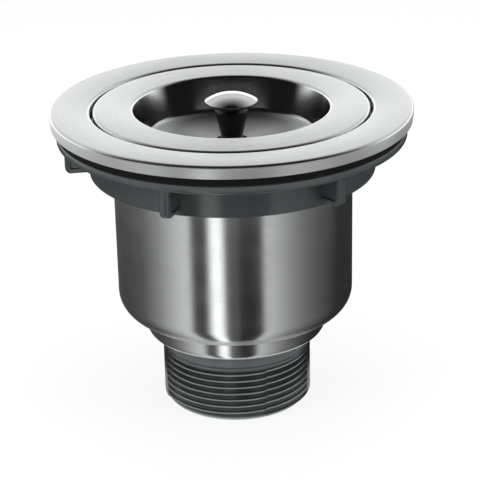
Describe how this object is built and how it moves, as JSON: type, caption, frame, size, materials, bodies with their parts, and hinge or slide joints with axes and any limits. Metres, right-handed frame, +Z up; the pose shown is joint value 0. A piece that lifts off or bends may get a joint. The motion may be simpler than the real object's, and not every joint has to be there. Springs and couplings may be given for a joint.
{
  "type": "basket strainer waste",
  "caption": "Kitchen sink basket strainer waste: flanged deep steel cup with flush dished lid and knob, lock nut with lugs, and threaded plastic outlet.",
  "frame": {"origin": "centre of the seat plane, where the rim of the flange stands on the sink", "axes": "+Z up out of the sink along the axis of the cup and outlet, -Y towards the camera of the picture, +X to its right"},
  "size_m": [0.1124, 0.1124, 0.1022],
  "materials": {
    "body_steel": "brushed and satin stainless steel, polished step",
    "lid_steel": "circular brushed stainless steel",
    "cap_steel": "polished",
    "basket_steel": "plain stainless sheet and wire",
    "screw_steel": "plain stainless",
    "insert_brass": "turned",
    "knob_plastic": "black, moulded, glossy",
    "nut_plastic": "dark grey, moulded, half gloss",
    "outlet_plastic": "dark grey, moulded, satin",
    "black_rubber": "black rubber",
    "slip_fibre": "thin dark slip ring"
  },
  "bodies": {
    "strainer": {"strainer_body": "body_steel", "lid": "lid_steel", "lid_seal": "black_rubber", "knob_stem": "knob_plastic", "knob_cap": "cap_steel", "knob_screw": "screw_steel", "knob_washer": "screw_steel", "basket": "basket_steel", "basket_ears": "basket_steel", "basket_bail": "basket_steel", "flange_seal": "black_rubber", "bottom_grate": "basket_steel", "centre_screw": "screw_steel", "screw_washer": "screw_steel", "thread_insert": "insert_brass", "outlet_seal": "black_rubber", "outlet_pipe": "outlet_plastic"},
    "clamp_rings": {"sink_gasket": "black_rubber", "friction_washer": "slip_fibre"},
    "lock_nut": {"lock_nut": "nut_plastic"}
  },
  "joints": [
    {"name": "ring_drop", "type": "slide", "parent": "strainer", "child": "clamp_rings", "axis": [0, 0, -1], "range_m": [0, 0.009]},
    {"name": "nut_turn", "type": "hinge", "parent": "clamp_rings", "child": "lock_nut", "pos_m": [0, 0, -0.01], "axis": [0, 0, -1], "range_deg": [0, 1080]}
  ],
  "couplings": [
    {"joint": "nut_turn", "follows": "ring_drop", "rad_per_m": 2094.4}
  ]
}
